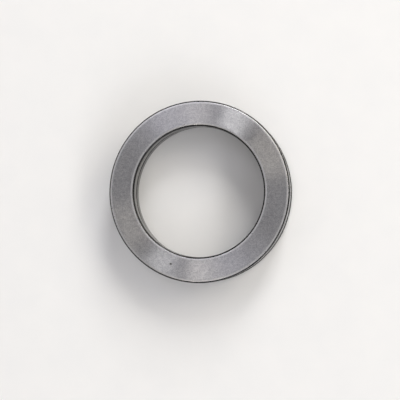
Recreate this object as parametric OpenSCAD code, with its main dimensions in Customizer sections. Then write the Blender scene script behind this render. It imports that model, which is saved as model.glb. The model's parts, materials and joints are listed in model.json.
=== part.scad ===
// Single-direction thrust ball bearing, assembled and lying on its housing washer.
// Two grooved washers run on one row of balls, and a pressed steel cage spaces the balls.
// The bearing axis is Z. The housing washer's seat face lies at z = 0, the shaft washer is on top.

/* [Boundary dimensions] */
// Bore of the shaft washer, which sits on the shaft
shaft_bore_d = 50; // [48:0.5:51]
// Outer diameter of the shaft washer, a little under the housing's recess
shaft_outer_d = 69.7; // [69:0.1:70]
// Bore of the housing washer, which clears the shaft
housing_bore_d = 52; // [51.5:0.1:52.5]
// Outer diameter of the housing washer, which sits in the housing's recess
housing_outer_d = 70; // [69:0.5:73]
// Height from one seat face to the other
bearing_h = 14; // [13.8:0.1:14.3]

/* [Washers] */
// Thickness of a washer, from its seat face to the flat beside its groove
washer_t = 4.2; // [4:0.1:4.5]
// Corner radius next to a seat face
seat_corner_r = 1; // [0.6:0.1:1.5]
// Corner radius next to the balls
land_corner_r = 0.3; // [0.1:0.1:0.5]
// Radius of the groove as a share of the ball diameter
groove_ratio = 0.54; // [0.52:0.01:0.58]

/* [Balls] */
// Number of balls in the row
ball_count = 24; // [12:1:24]
// Diameter of a ball
ball_d = 7.144; // [6.95:0.001:7.25]
// Diameter of the circle that the ball centres run on
pitch_d = 60; // [59.6:0.1:60.4]
// Play between a ball and the bottom of each groove
groove_play = 0.03; // [0.01:0.01:0.05]

/* [Cage] */
// Thickness of the sheet that the cage is pressed from
sheet_t = 0.6; // [0.5:0.1:0.7]
// Width of the cage across its two flanges
cage_w = 8; // [7.8:0.1:8.2]
// Height of the cage's web above the ball centres
cage_rise = 2.1; // [2:0.1:2.2]
// Depth of the cage's flanges below the ball centres
cage_drop = 1.9; // [1.6:0.1:2.2]
// Inside radius of the bend between the web and a flange
bend_r = 0.3; // [0.2:0.1:0.5]
// Play between a ball and its pocket
pocket_play = 0.1; // [0.05:0.05:0.15]

/* [Hidden] */
// Facets of a circle on screen
$fn = 128;
// How far a cutting shape runs past the surface that it cuts
over = 1;
pitch_r = pitch_d / 2;
ball_r = ball_d / 2;
mid_z = bearing_h / 2;
groove_r = groove_ratio * ball_d;
groove_bottom_z = mid_z - ball_r - groove_play;
ground_steel = [0.62, 0.61, 0.63];
pressed_steel = [0.50, 0.50, 0.52];
polished_steel = [0.80, 0.81, 0.83];

// Name of ball i, counted from 1: ball_01, ball_02 and so on
function ball_name(i) = str("ball_", i < 10 ? "0" : "", i);
// Angle round the bearing axis at which ball i sits
function ball_angle(i) = 360 * (i - 1) / ball_count;

// What a rounded corner takes off a square one. inward points from the corner into the material.
module corner_waste(corner, inward, radius) {
    centre = corner + radius * inward;
    reach = radius + over;
    difference() {
        translate(centre - reach * [max(inward.x, 0), max(inward.y, 0)]) square(reach);
        translate(centre) circle(radius);
    }
}

// Half section of a washer, its seat face at the bottom and its groove on top
module washer_profile(inner_r, outer_r) {
    difference() {
        translate([inner_r, 0]) square([outer_r - inner_r, washer_t]);
        corner_waste([inner_r, 0], [1, 1], seat_corner_r);
        corner_waste([outer_r, 0], [-1, 1], seat_corner_r);
        corner_waste([inner_r, washer_t], [1, -1], land_corner_r);
        corner_waste([outer_r, washer_t], [-1, -1], land_corner_r);
        translate([pitch_r, groove_bottom_z + groove_r]) circle(groove_r);
    }
}

// Rectangle with its two upper corners rounded, centred on x = 0
module arch(width, bottom, top, corner_r) {
    difference() {
        translate([-width / 2, bottom]) square([width, top - bottom]);
        for (side = [-1, 1]) corner_waste([side * width / 2, top], [-side, -1], corner_r);
    }
}

// Half section of the cage: an upside-down channel over the row of balls
module cage_profile() {
    difference() {
        arch(cage_w, -cage_drop, cage_rise, bend_r + sheet_t);
        arch(cage_w - 2 * sheet_t, -cage_drop - over, cage_rise - sheet_t, bend_r);
    }
}

// Moves its children to the place of ball i
module at_ball(i) {
    rotate(ball_angle(i)) translate([pitch_r, 0, mid_z]) children();
}

module housing_washer() {
    color(ground_steel) rotate_extrude() washer_profile(housing_bore_d / 2, housing_outer_d / 2);
}

module shaft_washer() {
    color(ground_steel)
        translate([0, 0, bearing_h]) mirror([0, 0, 1])
            rotate_extrude() washer_profile(shaft_bore_d / 2, shaft_outer_d / 2);
}

// The pockets are spheres, so they dimple the flanges and leave a round hole in the web.
// Both are narrower than a ball, and together they keep it in the cage.
module cage() {
    color(pressed_steel) difference() {
        rotate_extrude() translate([pitch_r, mid_z]) cage_profile();
        for (i = [1 : ball_count]) at_ball(i) sphere(ball_r + pocket_play);
    }
}

module ball(i) {
    color(polished_steel) at_ball(i) sphere(ball_r);
}

housing_washer();
shaft_washer();
cage();
for (i = [1 : ball_count]) ball(i);
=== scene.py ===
# %% [markdown]
# # A thrust ball bearing, made the way a bearing works makes it
#
# A single-direction thrust ball bearing has four kinds of piece: two grooved steel washers, a
# row of balls between them, and a cage pressed from sheet steel that keeps the balls apart.
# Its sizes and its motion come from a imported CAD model, which is the fixed frame here.
# This lesson makes a finer mesh for each piece on that frame, gives each surface the finish
# that the works gives it, and lights it like a product on a pale table.
# All lengths are in metres, Z is the bearing's axis and Z = 0 is the table.

import json
import math

import bmesh
import bpy
from mathutils import Matrix, Vector


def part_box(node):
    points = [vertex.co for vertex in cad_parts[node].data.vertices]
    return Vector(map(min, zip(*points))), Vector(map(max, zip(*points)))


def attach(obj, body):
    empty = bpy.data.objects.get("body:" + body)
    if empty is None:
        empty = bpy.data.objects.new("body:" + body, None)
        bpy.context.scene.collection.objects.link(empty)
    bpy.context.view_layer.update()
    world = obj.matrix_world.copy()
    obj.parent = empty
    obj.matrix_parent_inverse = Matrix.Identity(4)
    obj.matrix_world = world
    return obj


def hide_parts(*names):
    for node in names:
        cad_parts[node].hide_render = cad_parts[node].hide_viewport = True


MM = 0.001

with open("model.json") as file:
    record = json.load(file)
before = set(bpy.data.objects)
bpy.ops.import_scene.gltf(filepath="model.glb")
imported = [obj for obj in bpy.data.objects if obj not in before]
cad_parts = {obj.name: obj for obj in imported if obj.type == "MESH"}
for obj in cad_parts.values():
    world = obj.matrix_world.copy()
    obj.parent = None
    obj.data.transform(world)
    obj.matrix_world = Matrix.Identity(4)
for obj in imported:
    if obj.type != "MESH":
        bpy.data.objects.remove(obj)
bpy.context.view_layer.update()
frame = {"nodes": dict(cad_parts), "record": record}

# %% [markdown]
# ## Sizes from the frame
#
# A finer mesh has to agree with the CAD solid that it stands for, so its sizes are read and not
# typed again. The record's mounts give the radius of the bores and of the rim, and the straight
# length of each wall. What is left of a washer's thickness is the rounding of its corners. A
# ball's box gives its diameter and the radius of the row. Only what no box can tell is written
# here: how the groove's radius follows from the ball, the play, and the gauge of the sheet.

# %% Read the sizes
GROOVE_RATIO = 0.54  # groove radius over ball diameter, usual for a thrust bearing
GROOVE_PLAY = 0.03 * MM
POCKET_PLAY = 0.10 * MM
SHEET = 0.60 * MM
mounts = {mount["name"]: mount for mount in frame["record"]["mounts"]}


def mount_radius(name):
    """The radius of a round mount."""
    return mounts[name]["dims"]["r_mm"] * MM


shaft_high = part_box("shaft_washer")[1]
housing_low, housing_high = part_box("housing_washer")
cage_low, cage_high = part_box("cage")
ball_low, ball_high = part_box("ball_01")

ball_r = (ball_high.z - ball_low.z) / 2
mid_z = (ball_high.z + ball_low.z) / 2
pitch_r = (ball_high.x + ball_low.x) / 2
washer_t = housing_high.z - housing_low.z
wall_length = mounts["shaft_bore"]["dims"]["length_mm"] * MM
wall_top = mounts["shaft_bore"]["pos_m"][2] + wall_length / 2
seat_corner = shaft_high.z - wall_top
land_corner = washer_t - wall_length - seat_corner
groove_r = GROOVE_RATIO * 2 * ball_r
ball_names = sorted(name for name in frame["nodes"] if name.startswith("ball_"))
print(f"{len(ball_names)} balls of {2 * ball_r / MM:.3f} mm on a {2 * pitch_r / MM:.2f} mm circle")
print(f"corners {seat_corner / MM:.2f} and {land_corner / MM:.2f} mm, groove {groove_r / MM:.3f} mm")

# %% [markdown]
# ## Three small helpers
#
# Colours are written as the hex values that a colour picker shows. Those are sRGB, and Blender
# calculates with linear light, so one function turns one into the other. A material is a tree
# of nodes, and another function adds one node with its settings and its links. Most sockets are
# called by their names. A Mix node has several sockets of one name, so its colour sockets are
# called by their numbers, which get names of their own here. The last function starts a new
# material.

# %% Helpers for colours and nodes
FACTOR, COLOUR_A, COLOUR_B, MIXED = 0, 6, 7, 2  # a Mix node's sockets when it mixes colours


def linear(hex_colour):
    """An sRGB colour such as "c0c0c0" as linear red, green, blue and alpha."""
    shares = [int(hex_colour[i:i + 2], 16) / 255 for i in (0, 2, 4)]
    return [s / 12.92 if s <= 0.04045 else ((s + 0.055) / 1.055) ** 2.4 for s in shares] + [1.0]


def add_node(tree, kind, inputs=None, **settings):
    """Adds a node. inputs gives each socket, by name or number, a value or the socket to link from."""
    made = tree.nodes.new("ShaderNode" + kind)
    for name, value in settings.items():
        setattr(made, name, value)
    for key, value in (inputs or {}).items():
        if isinstance(value, bpy.types.NodeSocket):
            tree.links.new(value, made.inputs[key])
        else:
            made.inputs[key].default_value = value
    return made


def start_material(name):
    """A new material with an empty tree, and its position in metres to hang patterns on."""
    material = bpy.data.materials.new(name)
    material.use_nodes = True
    material.node_tree.nodes.clear()
    place = add_node(material.node_tree, "TexCoord").outputs["Object"]
    return material, material.node_tree, place


print(f"the grey 808080 gives off {linear('808080')[0]:.3f} of the light of white, not half")

# %% [markdown]
# ## Marks that run round the axis
#
# Turning and grinding both spin the ring, so their marks are circles round the axis. A noise
# texture draws such marks when it is fed bent coordinates: the direction from the axis, which
# changes slowly on the way round, and the distance from the axis divided by the spacing of the
# marks, which changes fast on the way out. On an upright wall the height takes the place of the
# distance, so the two are added.

# %% Coordinates for marks round the axis
SEAT_PATCHES = 2.5
OTHER_PATCHES = 4.0


def marks_round_axis(tree, place, spacing, patches):
    """Noise in circles about the axis, spacing apart, which fades in and out patches times a radian."""
    parts = add_node(tree, "SeparateXYZ", {"Vector": place})
    level = add_node(tree, "CombineXYZ", {"X": parts.outputs["X"], "Y": parts.outputs["Y"]})
    distance = add_node(tree, "VectorMath", {0: level.outputs[0]}, operation="LENGTH")
    heading = add_node(tree, "VectorMath", {0: level.outputs[0]}, operation="NORMALIZE")
    slow = add_node(tree, "VectorMath", {0: heading.outputs[0], "Scale": patches}, operation="SCALE")
    ends = add_node(tree, "SeparateXYZ", {"Vector": slow.outputs[0]})
    reach = add_node(tree, "Math", {0: distance.outputs["Value"], 1: parts.outputs["Z"]},
                     operation="ADD")
    fast = add_node(tree, "Math", {0: reach.outputs[0], 1: spacing}, operation="DIVIDE")
    bent = add_node(tree, "CombineXYZ", {"X": ends.outputs["X"], "Y": ends.outputs["Y"],
                                         "Z": fast.outputs[0]})
    marks = add_node(tree, "TexNoise", {"Vector": bent.outputs[0], "Scale": 1.0, "Detail": 2.0})
    return marks.outputs["Fac"]


print(f"marks fade in and out over about {pitch_r / SEAT_PATCHES / MM:.0f} mm on a seat face",
      f"and {pitch_r / OTHER_PATCHES / MM:.1f} mm on the other surfaces")

# %% [markdown]
# ## Finish 1: the ground seat faces
#
# The flat faces are through-hardened bearing steel, ground on a rotary table. The wheel leaves
# fine marks in circles. Light that falls across the marks is spread out and light along them is
# not, so a ground ring shows soft bright and dark fans that stand still while the ring turns.
# Painting the fans would be wrong: they belong to the light. The shader's anisotropy does it.
# Its tangent runs round the axis, and a rotation of a quarter turn lays the long side of the
# highlight across the marks. Steel is a metal, so its colour is the colour of its reflection.
# A noise of a millimetre or so gives the faint cloudiness of a hand-wiped, lightly oiled face,
# stretched noise gives a few hairline scratches, and one small pit has been left by rust.

# %% Sizes of the marks on a ground face
GRINDING_SPACING = 0.30 * MM  # really about 0.05 mm, which is too fine to show at this distance
GRINDING_DEPTH = 0.0005 * MM
GROUND_ROUGHNESS = (0.285, 0.32)
QUARTER_TURN = 0.25
CLOUD_SIZE = 1.3 * MM
CLOUD_RAGGEDNESS = 0.72
CLOUD_RANGE = (0.3, 0.7)  # one noise stays mostly between these
GRIT_SIZE = 0.45 * MM
SHADE_RANGE = (0.75, 1.25)  # and two noises added together between these
SCRATCH_LENGTH = 7.0 * MM
SCRATCH_WIDTH = 0.10 * MM
SCRATCH_TURN = math.radians(35)
SCRATCH_RANGE = (0.76, 0.82)  # only the few highest places of the noise are scratches
PIT_RADIUS = 0.60 * MM
PIT_DISTANCE = 29.5 * MM
PIT_HEADING = math.radians(249)
PIT_RANGE = (0.8, 1.6)  # in radii of the pit, counting what the ragged noise adds to its edge
PIT_DENT = -6.0  # how deep it is beside the grinding marks
pit_centre = (PIT_DISTANCE * math.cos(PIT_HEADING), PIT_DISTANCE * math.sin(PIT_HEADING), shaft_high.z)
print("the pit lies at", [round(c / MM, 1) for c in pit_centre], "mm")


# %% Ground bearing steel
def make_ground_steel():
    """Circularly ground bearing steel: satin grey with fans of light."""
    material, tree, place = start_material("circular_ground_bearing_steel")
    marks = marks_round_axis(tree, place, GRINDING_SPACING, SEAT_PATCHES)
    cloud = add_node(tree, "TexNoise", {"Vector": place, "Scale": 1 / CLOUD_SIZE, "Detail": 5.0,
                                        "Roughness": CLOUD_RAGGEDNESS})
    grit = add_node(tree, "TexNoise", {"Vector": place, "Scale": 1 / GRIT_SIZE, "Detail": 1.0})
    mottle = add_node(tree, "Math", {0: cloud.outputs["Fac"], 1: grit.outputs["Fac"]}, operation="ADD")
    shade = add_node(tree, "MapRange", {"Value": mottle.outputs[0], "From Min": SHADE_RANGE[0],
                                        "From Max": SHADE_RANGE[1]})
    steel = add_node(tree, "Mix", {FACTOR: shade.outputs[0], COLOUR_A: linear("aaa9ac"),
                                   COLOUR_B: linear("d1d0d0")}, data_type="RGBA")

    stretched = add_node(tree, "Mapping", {"Vector": place, "Rotation": (0, 0, SCRATCH_TURN),
                                           "Scale": (1 / SCRATCH_LENGTH, 1 / SCRATCH_WIDTH, 1)})
    streaks = add_node(tree, "TexNoise", {"Vector": stretched.outputs[0], "Scale": 1.0, "Detail": 0.0})
    scratch = add_node(tree, "MapRange", {"Value": streaks.outputs["Fac"], "From Min": SCRATCH_RANGE[0],
                                          "From Max": SCRATCH_RANGE[1]})
    marked = add_node(tree, "Mix", {FACTOR: scratch.outputs[0], COLOUR_A: steel.outputs[MIXED],
                                    COLOUR_B: linear("dedcdc")}, data_type="RGBA")

    to_pit = add_node(tree, "VectorMath", {0: place, 1: pit_centre}, operation="DISTANCE")
    ragged = add_node(tree, "Math", {0: cloud.outputs["Fac"], 1: PIT_RADIUS, 2: to_pit.outputs["Value"]},
                      operation="MULTIPLY_ADD")
    pit = add_node(tree, "MapRange", {"Value": ragged.outputs[0], "From Min": PIT_RADIUS * PIT_RANGE[0],
                                      "From Max": PIT_RADIUS * PIT_RANGE[1], "To Min": 1.0, "To Max": 0.0})
    pitted = add_node(tree, "Mix", {FACTOR: pit.outputs[0], COLOUR_A: marked.outputs[MIXED],
                                    COLOUR_B: linear("2b2725")}, data_type="RGBA")

    rough = add_node(tree, "MapRange", {"Value": cloud.outputs["Fac"], "From Min": CLOUD_RANGE[0],
                                        "From Max": CLOUD_RANGE[1], "To Min": GROUND_ROUGHNESS[0],
                                        "To Max": GROUND_ROUGHNESS[1]})
    dents = add_node(tree, "Math", {0: pit.outputs[0], 1: PIT_DENT, 2: marks}, operation="MULTIPLY_ADD")
    bump = add_node(tree, "Bump", {"Distance": GRINDING_DEPTH, "Height": dents.outputs[0]})
    round_axis = add_node(tree, "Tangent", direction_type="RADIAL", axis="Z")
    shader = add_node(tree, "BsdfPrincipled", {
        "Base Color": pitted.outputs[MIXED], "Metallic": 1.0, "Roughness": rough.outputs[0],
        "Anisotropic": 1.0, "Anisotropic Rotation": QUARTER_TURN, "Tangent": round_axis.outputs[0],
        "Normal": bump.outputs[0]})
    add_node(tree, "OutputMaterial", {"Surface": shader.outputs[0]})
    return material


ground_steel = make_ground_steel()
print("made", ground_steel.name, "with", len(ground_steel.node_tree.nodes), "nodes")

# %% [markdown]
# ## Finishes 2 to 7: walls, bore, corners, edges, raceways and balls
#
# The rim and the bore are ground too, but on a finer wheel, so they are closer to a mirror with
# fine lines round them. The bore is coloured darker, a painted shade. The corners were only
# turned before hardening. No wheel reaches their steep part, which is coloured a dark grey, a
# painted shade that frames the bright faces with a dark line. Their shallow part, next to the
# seat face, is coloured light, a painted highlight that draws a thin light line inside the dark
# one, and the two rim strips add a real highlight there. The grooves are honed and the balls are
# lapped between iron plates, to mirrors that show only a breath of haze. All six are the same
# steel, so one function makes them, and what changes is the colour, the roughness, the spacing
# of the marks, how deep these are and how large the duller places are.

# %% Bearing steel in six finishes
DULLER, SHINIER = 1.3, 0.8  # what the clouds do to the roughness


def make_bearing_steel(name, dull_hex, bright_hex, roughness, spacing, depth, patch):
    """Bearing steel with marks round the axis and, every few millimetres (patch), duller places."""
    material, tree, place = start_material(name)
    marks = marks_round_axis(tree, place, spacing, OTHER_PATCHES)
    cloud = add_node(tree, "TexNoise", {"Vector": place, "Scale": 1 / patch, "Detail": 5.0})
    both = add_node(tree, "Math", {0: cloud.outputs["Fac"], 1: marks}, operation="ADD")
    shade = add_node(tree, "MapRange", {"Value": both.outputs[0], "From Min": SHADE_RANGE[0],
                                        "From Max": SHADE_RANGE[1]})
    steel = add_node(tree, "Mix", {FACTOR: shade.outputs[0], COLOUR_A: linear(dull_hex),
                                   COLOUR_B: linear(bright_hex)}, data_type="RGBA")
    rough = add_node(tree, "MapRange", {"Value": both.outputs[0], "From Min": SHADE_RANGE[0],
                                        "From Max": SHADE_RANGE[1], "To Min": roughness * DULLER,
                                        "To Max": roughness * SHINIER})
    bump = add_node(tree, "Bump", {"Distance": depth, "Height": marks})
    shader = add_node(tree, "BsdfPrincipled", {
        "Base Color": steel.outputs[MIXED], "Metallic": 1.0, "Roughness": rough.outputs[0],
        "Normal": bump.outputs[0]})
    add_node(tree, "OutputMaterial", {"Surface": shader.outputs[0]})
    return material


# The marks of all six are really a few hundredths of a millimetre apart. They are drawn coarser,
# so that they show.
# Fine-ground walls: nearly a mirror, with lines round the axis that streak what they reflect.
wall_steel = make_bearing_steel("fine_ground_wall_steel", "8a8989", "b0afaf", 0.17,
                                spacing=0.25 * MM, depth=0.0006 * MM, patch=2.5 * MM)
# The bore: the same, but darker, a painted shade inside the bore.
bore_steel = make_bearing_steel("fine_ground_bore_painted_shade", "615f5e", "898786", 0.20,
                                spacing=0.25 * MM, depth=0.0006 * MM, patch=2.5 * MM)
# Turned corners: a dark grey that is painted shade, framing the bright faces with a dark line, with brighter
# places where handling has rubbed them.
corner_steel = make_bearing_steel("turned_corners_painted_shade", "242425", "4a4949", 0.26,
                                  spacing=0.20 * MM, depth=0.0010 * MM, patch=1.2 * MM)
# Edges: where a seat face ends, coloured light, a painted highlight that draws a thin light line there.
edge_steel = make_bearing_steel("seat_edge_painted_highlight", "cfcece", "e6e5e5", 0.32,
                                spacing=0.20 * MM, depth=0.0001 * MM, patch=1.2 * MM)
# Honed raceways: a mirror with the last trace of the hone.
race_steel = make_bearing_steel("honed_raceway_steel", "b9b8ba", "cdccce", 0.08,
                                spacing=0.15 * MM, depth=0.0002 * MM, patch=3.0 * MM)
# Lapped balls: the brightest steel of all.
ball_steel = make_bearing_steel("lapped_ball_steel", "c6c6c9", "d8d8da", 0.045,
                                spacing=0.40 * MM, depth=0.0001 * MM, patch=1.5 * MM)
print("made", [steel.name for steel in (wall_steel, bore_steel, corner_steel, edge_steel, race_steel,
                                        ball_steel)])

# %% [markdown]
# ## Finishes 8 and 9: cold-rolled sheet and its sheared edges
#
# The cage is cold-rolled low-carbon steel, blanked, drawn and pierced in a press. It was never
# hardened or ground, so it is greyer and duller than the rest, with a slightly pebbled skin from
# the rolls. Where the die has sheared it, at the pockets and along its skirts, it is bright.

# %% Pressed sheet steel
PEBBLE_SIZE = 0.35 * MM  # the rolled skin is finer, about 0.05 mm, which wouldn't show
PEBBLE_DEPTH = 0.004 * MM
STAIN_SIZE = 3.0 * MM
STAIN_RANGE = (0.35, 0.65)
STAINED, CLEAN = 1.15, 0.85  # what an oil stain does to the roughness


def make_sheet_steel(name, dull_hex, bright_hex, roughness):
    """Cold-rolled sheet steel: satin grey, pebbled and a little stained with oil."""
    material, tree, place = start_material(name)
    stain = add_node(tree, "TexNoise", {"Vector": place, "Scale": 1 / STAIN_SIZE, "Detail": 5.0})
    pebbles = add_node(tree, "TexNoise", {"Vector": place, "Scale": 1 / PEBBLE_SIZE, "Detail": 3.0})
    shade = add_node(tree, "MapRange", {"Value": stain.outputs["Fac"], "From Min": STAIN_RANGE[0],
                                        "From Max": STAIN_RANGE[1]})
    steel = add_node(tree, "Mix", {FACTOR: shade.outputs[0], COLOUR_A: linear(dull_hex),
                                   COLOUR_B: linear(bright_hex)}, data_type="RGBA")
    rough = add_node(tree, "MapRange", {"Value": stain.outputs["Fac"], "From Min": STAIN_RANGE[0],
                                        "From Max": STAIN_RANGE[1], "To Min": roughness * STAINED,
                                        "To Max": roughness * CLEAN})
    bump = add_node(tree, "Bump", {"Distance": PEBBLE_DEPTH, "Height": pebbles.outputs["Fac"]})
    shader = add_node(tree, "BsdfPrincipled", {
        "Base Color": steel.outputs[MIXED], "Metallic": 1.0, "Roughness": rough.outputs[0],
        "Normal": bump.outputs[0]})
    add_node(tree, "OutputMaterial", {"Surface": shader.outputs[0]})
    return material


# The sheet's skin: a dull, even grey.
sheet_steel = make_sheet_steel("cold_rolled_sheet_steel", "918f8d", "a2a19f", 0.36)
# Its cut edges: fresh metal, which glints round each pocket.
sheared_steel = make_sheet_steel("sheared_edge_steel", "b8b5b0", "cfccc8", 0.24)
print("made", sheet_steel.name, "and", sheared_steel.name)

# %% [markdown]
# ## From a bmesh to a piece
#
# Every piece ends the same way: its surfaces are shaded smooth, its mesh becomes an object at
# the origin, and it is tied to the frame. It rides on a body, stands for a CAD node, whose own
# mesh it hides, and takes the finishes that it is given.

# %% Finish a piece
def finish_piece(made, name, node, finishes):
    """Turns a bmesh into a smooth piece that rides on its body and stands for the CAD node."""
    for face in made.faces:
        face.smooth = True
    mesh = bpy.data.meshes.new(name)
    made.to_mesh(mesh)
    made.free()
    for finish in finishes:
        mesh.materials.append(finish)
    piece = bpy.data.objects.new(name, mesh)
    bpy.context.scene.collection.objects.link(piece)
    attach(piece, node)
    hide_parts(node)
    return piece


# %% [markdown]
# ## The washers
#
# A washer has the same section all the way round. It could be cut from a thick tube with
# booleans, but a lathe shows the better way: draw half the section once and spin it about the
# axis. The groove's arc is itself a spin, of one point about the groove's centre.

# %% Draw half a washer's section
ARC_STEPS = 20


def draw_half_section(bore_r, rim_r, seat_z, up):
    """The outline of a washer's half section, in the XZ plane, and the two radii where its groove ends."""
    groove_h = abs(mid_z - seat_z) - ball_r - GROOVE_PLAY + groove_r
    half_angle = math.acos((groove_h - washer_t) / groove_r)
    half_width = groove_r * math.sin(half_angle)
    land_z = seat_z + up * washer_t
    outline = bmesh.new()
    start = outline.verts.new((pitch_r - half_width, 0, land_z))
    spun = bmesh.ops.spin(outline, geom=[start], cent=(pitch_r, 0, seat_z + up * groove_h),
                          axis=(0, -up, 0), angle=2 * half_angle, steps=ARC_STEPS)
    end = [part for part in spun["geom_last"] if isinstance(part, bmesh.types.BMVert)][0]
    corners = [(rim_r, land_z), (rim_r, seat_z), (bore_r, seat_z), (bore_r, land_z)]
    path = [end] + [outline.verts.new((r, 0, z)) for r, z in corners] + [start]
    for first, second in zip(path, path[1:]):
        outline.edges.new((first, second))
    print(f"groove {2 * half_width / MM:.2f} mm wide,",
          f"{(washer_t - groove_h + groove_r) / MM:.2f} mm deep")
    return outline, (pitch_r - half_width, pitch_r + half_width)


# %% [markdown]
# ## The washers' corners
#
# The circles where two walls meet are bevelled into round corners. The bevel is asked for by
# radius and height, because the spin doesn't say which of its edges came from which point.

# %% Round the circles
CLOSE = 0.001 * MM
SEAT_CORNER_STEPS = 8
LAND_CORNER_STEPS = 6
GROOVE_EDGE = 0.10 * MM
GROOVE_EDGE_STEPS = 3


def round_corners(made, corners, radius, steps):
    """Bevels the circles whose radius and height are given."""
    circles = [edge for edge in made.edges for r, z in corners
               if all(abs(v.co.xy.length - r) < CLOSE and abs(v.co.z - z) < CLOSE for v in edge.verts)]
    bmesh.ops.bevel(made, geom=circles, offset=radius, offset_type="OFFSET", affect="EDGES",
                    segments=steps, profile=0.5, material=-1)
    print(f"rounded {len(circles)} edges to {radius / MM:.2f} mm")


# %% [markdown]
# ## The washers' zones
#
# Each zone of the one mesh takes its own finish, and a face's slope and place tell its zone.
# The flat zones get a narrow inset border, a holding loop, so that the smooth shading stays
# inside the corners and the faces stay flat. On the seat faces the border is wider, and it is
# coloured light together with the shallow part of the corner beside it: a painted highlight.

# %% Name a washer's zones
LEVEL = 0.999999
UPRIGHT = 0.000001
HOLDING_LOOP = 0.02 * MM
# the seat face's border and the corner up to this tilt are coloured light: a painted highlight
HIGHLIGHT_BORDER = 0.25 * MM
HIGHLIGHT_TILT = math.radians(24)
washer_finishes = {"seat": ground_steel, "rim": wall_steel, "bore": bore_steel,
                   "corner": corner_steel, "edge": edge_steel, "race": race_steel}
slot_numbers = {zone: number for number, zone in enumerate(washer_finishes)}


def name_zone(face, groove_end_r, up):
    """The zone that a washer's face is in. groove_end_r is the radius where the groove ends."""
    from_axis = face.calc_center_median().xy.length
    in_groove = abs(from_axis - pitch_r) < groove_end_r - pitch_r + GROOVE_EDGE
    if abs(face.normal.z) > LEVEL:
        return "seat"
    if abs(face.normal.z) < UPRIGHT:
        return "rim" if from_axis > pitch_r else "bore"
    if in_groove and face.normal.z * up > 0:
        return "race"
    # edge: coloured light, a painted highlight; corner: dark grey, a painted shade
    return "edge" if -face.normal.z * up > math.cos(HIGHLIGHT_TILT) else "corner"


print("material slots of a washer:", slot_numbers)

# %% Turn both washers
SPIN_STEPS = 12 * len(ball_names)  # so many that the rim never looks polygonal


def turn_washer(name, node, bore_r, rim_r, seat_z, up):
    """A grooved washer with its seat face at seat_z and its groove facing up (1) or down (-1)."""
    made, groove_ends = draw_half_section(bore_r, rim_r, seat_z, up)
    bmesh.ops.spin(made, geom=made.verts[:] + made.edges[:], cent=(0, 0, 0), axis=(0, 0, 1),
                   angle=math.tau, steps=SPIN_STEPS, use_merge=True)
    bmesh.ops.recalc_face_normals(made, faces=made.faces)
    land_z = seat_z + up * washer_t
    round_corners(made, [(bore_r, seat_z), (rim_r, seat_z)], seat_corner, SEAT_CORNER_STEPS)
    round_corners(made, [(bore_r, land_z), (rim_r, land_z)], land_corner, LAND_CORNER_STEPS)
    round_corners(made, [(r, land_z) for r in groove_ends], GROOVE_EDGE, GROOVE_EDGE_STEPS)
    zones = {zone: [] for zone in washer_finishes}
    for face in made.faces:
        zone = name_zone(face, groove_ends[1], up)
        zones[zone].append(face)
        face.material_index = slot_numbers[zone]
    for zone, border in (("seat", HIGHLIGHT_BORDER), ("rim", HOLDING_LOOP), ("bore", HOLDING_LOOP)):
        loop = bmesh.ops.inset_region(made, faces=zones[zone], thickness=border, use_boundary=True,
                                      use_even_offset=True)
        for face in loop["faces"]:
            face.material_index = slot_numbers["edge" if zone == "seat" else zone]
    counts = {zone: len(faces) for zone, faces in zones.items()}
    piece = finish_piece(made, name, node, washer_finishes.values())
    print(f"{name}: {len(piece.data.polygons)} faces, before their borders {counts}")


turn_washer("turned_housing_washer", "housing_washer", mount_radius("shaft_passage"),
            mount_radius("housing_rim"), housing_low.z, 1)
turn_washer("turned_shaft_washer", "shaft_washer", mount_radius("shaft_bore"),
            shaft_high.x, shaft_high.z, -1)

# %% [markdown]
# ## The balls
#
# A bearing ball really is a plain sphere, true to a fraction of a thousandth of a millimetre. An
# icosphere is used, because its triangles are all of about one size. A UV sphere has crowded
# poles that show in a mirror finish. The finish does the rest.

# %% Lap the balls
BALL_SUBDIVISIONS = 5


def ball_centre(node):
    """The middle of a ball."""
    low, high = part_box(node)
    return (low + high) / 2


for node in ball_names:
    ball = bmesh.new()
    bmesh.ops.create_icosphere(ball, subdivisions=BALL_SUBDIVISIONS, radius=ball_r,
                               matrix=Matrix.Translation(ball_centre(node)))
    finish_piece(ball, "lapped_" + node, node, [ball_steel])
print("lapped", len(ball_names), "balls")

# %% [markdown]
# ## The cage
#
# The cage is pressed from one ring of sheet: a flat web with a round pocket for each ball, and
# two skirts drawn down beside the balls. Here it is made in the same order. The two bent skirts
# are spun from an edge and a bend, and the web is filled in between them round the circles of
# the pockets. Drawing the outline and filling it is better than cutting holes with booleans,
# because the fill leaves clean edges for the thickness to grow from.

# %% Spin the cage's skirts
CAGE_STEPS = 20 * len(ball_names)
SKIRT_STEPS = 8
BEND_STEPS = 6
BEND = SHEET + 0.30 * MM  # outside radius: the sheet round a punch with an edge of 0.30 mm
inner_r, outer_r = pitch_r * 2 - cage_high.x, cage_high.x


def draw_skirt(made, wall_r, inward):
    """A skirt's line from its foot up and round the bend, in the XZ plane. inward points to the web."""
    top = made.verts.new((wall_r, 0, cage_low.z))
    for _ in range(SKIRT_STEPS):
        top = bmesh.ops.extrude_vert_indiv(made, verts=[top])["verts"][0]
        top.co.z += (cage_high.z - BEND - cage_low.z) / SKIRT_STEPS
    bmesh.ops.spin(made, geom=[top], cent=(wall_r + inward * BEND, 0, top.co.z), axis=(0, inward, 0),
                   angle=math.pi / 2, steps=BEND_STEPS)


cage = bmesh.new()
draw_skirt(cage, inner_r, 1)
draw_skirt(cage, outer_r, -1)
bmesh.ops.spin(cage, geom=cage.verts[:] + cage.edges[:], cent=(0, 0, 0), axis=(0, 0, 1),
               angle=math.tau, steps=CAGE_STEPS, use_merge=True)
print(f"skirts at {inner_r / MM:.1f} and {outer_r / MM:.1f} mm from the axis, {len(cage.faces)} faces")

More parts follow.
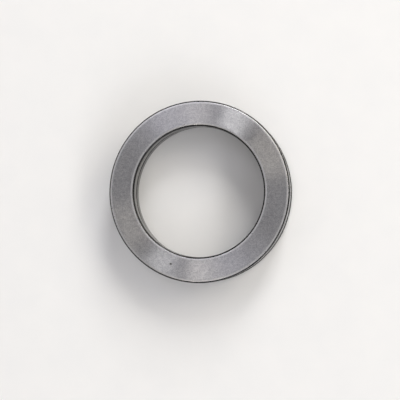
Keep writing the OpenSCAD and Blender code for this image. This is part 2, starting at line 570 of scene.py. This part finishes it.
# %% Fill the web round the pockets
POCKET_STEPS = 56
centres = [ball_centre(node) for node in ball_names]
pocket_r = ball_r + POCKET_PLAY
hole_r = math.sqrt(pocket_r ** 2 - (cage_high.z - mid_z) ** 2)
for centre in centres:
    bmesh.ops.create_circle(cage, segments=POCKET_STEPS, radius=hole_r,
                            matrix=Matrix.Translation((centre.x, centre.y, cage_high.z)))
outline = [edge for edge in cage.edges if len(edge.link_faces) < 2
           and all(abs(v.co.z - cage_high.z) < CLOSE for v in edge.verts)]
bmesh.ops.triangle_fill(cage, use_beauty=True, edges=outline, normal=(0, 0, 1))
bmesh.ops.recalc_face_normals(cage, faces=cage.faces)
if sum(face.normal.z for face in cage.faces) < 0:
    bmesh.ops.reverse_faces(cage, faces=cage.faces)
print(f"holes of {2 * hole_r / MM:.2f} mm, sheet before its thickness: {len(cage.faces)} faces,",
      sum(edge.is_boundary for edge in cage.edges), "open edges")

# %% [markdown]
# ## The cage's thickness and its pockets
#
# Solidify's operator gives the sheet its thickness. Whatever then still reaches into a ball's
# pocket is pushed back on to a sphere a little larger than the ball, which coins the pockets'
# edges just as the punch does. Last, the sheared edges are bevelled and take their own finish.

# %% Thicken the sheet and coin the pockets
SHEARED = 0.06 * MM
SHEARED_STEPS = 3
SHARP = 0.6  # radians between two faces, which the bends stay well under
bmesh.ops.solidify(cage, geom=cage.faces[:], thickness=SHEET)
for vert in cage.verts:
    centre = min(centres, key=lambda c: (c - vert.co).length_squared)
    away = vert.co - centre
    if away.length < pocket_r:
        level = math.sqrt(pocket_r ** 2 - away.z ** 2)
        vert.co.xy = centre.xy + away.xy.normalized() * level
sharp = [edge for edge in cage.edges if len(edge.link_faces) == 2 and edge.calc_face_angle() > SHARP]
bmesh.ops.bevel(cage, geom=sharp, offset=SHEARED, offset_type="OFFSET", affect="EDGES",
                segments=SHEARED_STEPS, profile=0.5, material=1)
pressed_cage = finish_piece(cage, "pressed_cage", "cage",
                            [sheet_steel, sheared_steel])
print("cage:", len(pressed_cage.data.polygons), "faces,", len(sharp), "sheared edges")

# %% [markdown]
# ## The table
#
# A pale, slightly rough laminate, large enough to run to the horizon. Its top is a hair under
# the bearing, so that the two surfaces never share a plane.

# %% Lay the table
TABLE_REACH = 4.0
TABLE_GAP = 0.01 * MM
FLECK_SIZE = 12 * MM
table_mesh = bmesh.new()
bmesh.ops.create_grid(table_mesh, x_segments=8, y_segments=8, size=TABLE_REACH,
                      matrix=Matrix.Translation((0, 0, -TABLE_GAP)))
table_data = bpy.data.meshes.new("table_top")
table_mesh.to_mesh(table_data)
table_mesh.free()
table = bpy.data.objects.new("table_top", table_data)
bpy.context.scene.collection.objects.link(table)
laminate, tree, place = start_material("pale_laminate")
flecks = add_node(tree, "TexNoise", {"Vector": place, "Scale": 1 / FLECK_SIZE, "Detail": 3.0})
pale = add_node(tree, "Mix", {FACTOR: flecks.outputs["Fac"], COLOUR_A: linear("e9e9e8"),
                              COLOUR_B: linear("efeeec")}, data_type="RGBA")
shader = add_node(tree, "BsdfPrincipled", {"Base Color": pale.outputs[MIXED], "Roughness": 0.6,
                                           "Specular IOR Level": 0.2})
add_node(tree, "OutputMaterial", {"Surface": shader.outputs[0]})
table_data.materials.append(laminate)
print(f"table reaching {TABLE_REACH:.0f} m each way, {TABLE_GAP / MM:.2f} mm under the bearing")

# %% [markdown]
# ## The light
#
# A ground ring shows where each lamp stands: a lamp at a given heading lights a fan of the face
# at that heading and another one opposite. So the softboxes are placed by heading round the
# bearing and by their angle from straight up, all aimed at the middle of the top face, and
# their widths set how wide each fan is. Two long, narrow strips, on the right and on the left,
# light the edges of the seat faces, whose lighter colour is a painted highlight. A pale sky,
# brighter near the horizon, fills the rest.

# %% Place the softboxes
AIM = Vector((0, 0, shaft_high.z))
LAMP_DISTANCE = 2.5


def hang_softbox(name, heading, from_top, wide, tall, brightness, colour_hex):
    """A rectangular lamp. Angles are in degrees, wide and tall are the degrees it spans from the bearing."""
    turn, lean = math.radians(heading), math.radians(from_top)
    way = Vector((math.cos(turn) * math.sin(lean), math.sin(turn) * math.sin(lean), math.cos(lean)))
    lamp = bpy.data.lights.new(name, "AREA")
    lamp.shape = "RECTANGLE"
    lamp.size = 2 * LAMP_DISTANCE * math.tan(math.radians(wide) / 2) * math.sin(lean)
    lamp.size_y = 2 * LAMP_DISTANCE * math.tan(math.radians(tall) / 2)
    lamp.energy = brightness * math.pi * lamp.size * lamp.size_y
    lamp.color = linear(colour_hex)[:3]
    holder = bpy.data.objects.new(name, lamp)
    bpy.context.scene.collection.objects.link(holder)
    holder.location = AIM + way * LAMP_DISTANCE
    holder.rotation_mode = "QUATERNION"
    holder.rotation_quaternion = way.to_track_quat("Z", "Y")
    holder.visible_camera = False
    print(f"{name}: {lamp.size / MM:.0f} x {lamp.size_y / MM:.0f} mm, {lamp.energy:.2f} W")


hang_softbox("key_upper_right", 72.5, 62, 20, 28, 12.4, "ffffff")
hang_softbox("fill_right", 34, 55, 38, 28, 3.4, "fff7e6")
hang_softbox("fill_upper_left", 118.5, 30, 36, 28, 1.25, "f3f2ff")
hang_softbox("strip_lower_left", 251, 30, 12, 28, 2.9, "fffaf0")
hang_softbox("fill_lower_right", 299, 60, 46, 28, 1.9, "f8f8ff")
hang_softbox("rim_right", 0, 52, 110, 10, 3.0, "ffffff")
hang_softbox("rim_left", 165, 48, 90, 8, 0.7, "ffffff")

# %% Light the sky
SKY = 0.295
HORIZON = 0.80
HORIZON_BAND = 0.5  # the sine of the height where the bright band ends, which is 30 degrees
world = bpy.data.worlds.new("studio_sky")
bpy.context.scene.world = world
world.use_nodes = True
tree = world.node_tree
tree.nodes.clear()
way = add_node(tree, "TexCoord").outputs["Generated"]
rise = add_node(tree, "SeparateXYZ", {"Vector": way}).outputs["Z"]
glow = add_node(tree, "MapRange", {"Value": rise, "From Min": 0.0, "From Max": HORIZON_BAND,
                                   "To Min": HORIZON / SKY, "To Max": 1.0},
                interpolation_type="SMOOTHSTEP")
bright = add_node(tree, "Math", {0: glow.outputs[0], 1: SKY}, operation="MULTIPLY")
light = add_node(tree, "Background", {"Color": linear("fefcff"), "Strength": bright.outputs[0]})
add_node(tree, "OutputWorld", {"Surface": light.outputs[0]})
print(f"sky of {SKY} overhead, {HORIZON:.2f} at the horizon")

# %% [markdown]
# ## The camera
#
# The bearing is seen from almost straight above, through a long lens. The camera leans about
# nine degrees towards the lower right, and it stands only some 360 mm away. So near, it sees
# the far side of the bore's wall at the left and a thin band of the rim's wall at the right,
# which a camera far above would not. It is aimed a little off the middle, to place the bearing
# in the frame, and it keeps its sensor unshifted, so that it can be moved to any other side.

# %% Set up the camera
CAMERA_DISTANCE = 0.360
CAMERA_LEAN = math.radians(9.3)
CAMERA_HEADING = math.radians(-18)
LENS = 85.2
SENSOR = 36
NEAREST = 0.01
LOOK_AT = Vector((0.75 * MM, -3.26 * MM, shaft_high.z))
offset = Vector((math.cos(CAMERA_HEADING) * math.sin(CAMERA_LEAN),
                 math.sin(CAMERA_HEADING) * math.sin(CAMERA_LEAN), math.cos(CAMERA_LEAN)))
camera_data = bpy.data.cameras.new("camera")
camera_data.lens = LENS
camera_data.sensor_width = SENSOR
camera_data.clip_start = NEAREST
camera = bpy.data.objects.new("camera", camera_data)
bpy.context.scene.collection.objects.link(camera)
camera.location = AIM + CAMERA_DISTANCE * offset
back = (camera.location - LOOK_AT).normalized()
right = Vector((0, 1, 0)).cross(back).normalized()
camera.rotation_mode = "QUATERNION"
camera.rotation_quaternion = Matrix((right, back.cross(right), back)).transposed().to_quaternion()
bpy.context.scene.camera = camera
bpy.context.scene.view_settings.view_transform = "Standard"
print("camera at", [round(c / MM, 1) for c in camera.location], f"mm with a {LENS} mm lens")
